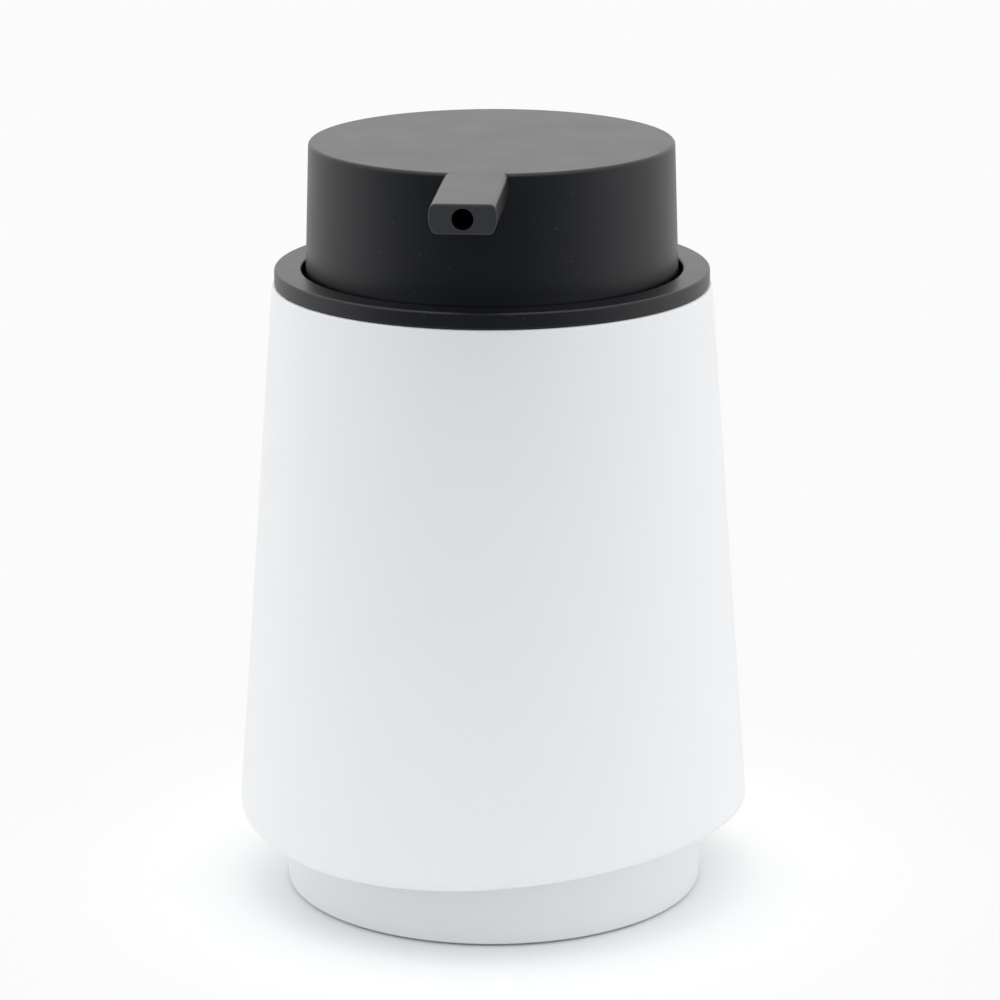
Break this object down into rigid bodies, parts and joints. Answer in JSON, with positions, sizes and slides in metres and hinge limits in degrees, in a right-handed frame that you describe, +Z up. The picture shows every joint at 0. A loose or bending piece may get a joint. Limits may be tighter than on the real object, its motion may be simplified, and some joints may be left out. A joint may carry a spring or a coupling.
{
  "type": "soap dispenser",
  "caption": "Free-standing soap dispenser: tapered reservoir that draws in below a waved edge to its foot, drop-in collar, spring-return pump and a wide push cap with a flat bar spout.",
  "frame": {"origin": "centre of the pad's resting face, on the axis of the body", "axes": "+Z up along the body's axis, -Y along the spout at rest, +X to the right of a viewer who faces the spout"},
  "size_m": [0.0842, 0.0955, 0.1247],
  "materials": {
    "white_abs": "soft matte",
    "foot_abs": "soft matte",
    "black_abs": "fine texture",
    "moulded_pp": "moulded",
    "natural_pp": "natural, translucent",
    "tube_pe": "extruded, translucent",
    "silicone": "moulded silicone",
    "pad_rubber": "matte foam rubber",
    "spring_steel": "drawn wire",
    "ball_glass": "ground ball"
  },
  "bodies": {
    "reservoir": {"body_shell": "white_abs", "foot_base": "foot_abs", "base_seal": "silicone", "non_slip_pad": "pad_rubber"},
    "pump_unit": {"collar": "black_abs", "collar_seal": "silicone", "pump_nut": "moulded_pp", "pump_gasket": "silicone", "pump_cylinder": "natural_pp", "stem_guide": "moulded_pp", "stem_seal": "silicone", "return_spring": "spring_steel", "ball_cage": "moulded_pp", "dip_tube": "tube_pe"},
    "plunger": {"pump_stem": "moulded_pp", "piston_rod": "moulded_pp"},
    "actuator": {"push_cap": "black_abs", "actuator_core": "moulded_pp"},
    "piston": {"piston_cup": "moulded_pp"},
    "inlet_ball": {"check_ball": "ball_glass"}
  },
  "joints": [
    {"name": "lid_lift", "type": "slide", "parent": "reservoir", "child": "pump_unit", "axis": [0, 0, 1], "range_m": [0, 0.1]},
    {"name": "cap_press", "type": "slide", "parent": "pump_unit", "child": "plunger", "axis": [0, 0, -1], "range_m": [0, 0.01], "stiffness_N_per_m": 700, "springref_m": -0.006, "deforming": ["return_spring"]},
    {"name": "spout_swivel", "type": "hinge", "parent": "plunger", "child": "actuator", "pos_m": [0, 0, 0.115], "axis": [0, 0, 1], "continuous": true},
    {"name": "piston_valve", "type": "slide", "parent": "plunger", "child": "piston", "axis": [0, 0, 1], "range_m": [0, 0.0012]},
    {"name": "ball_lift", "type": "slide", "parent": "pump_unit", "child": "inlet_ball", "axis": [0, 0, 1], "range_m": [0, 0.0012]}
  ]
}
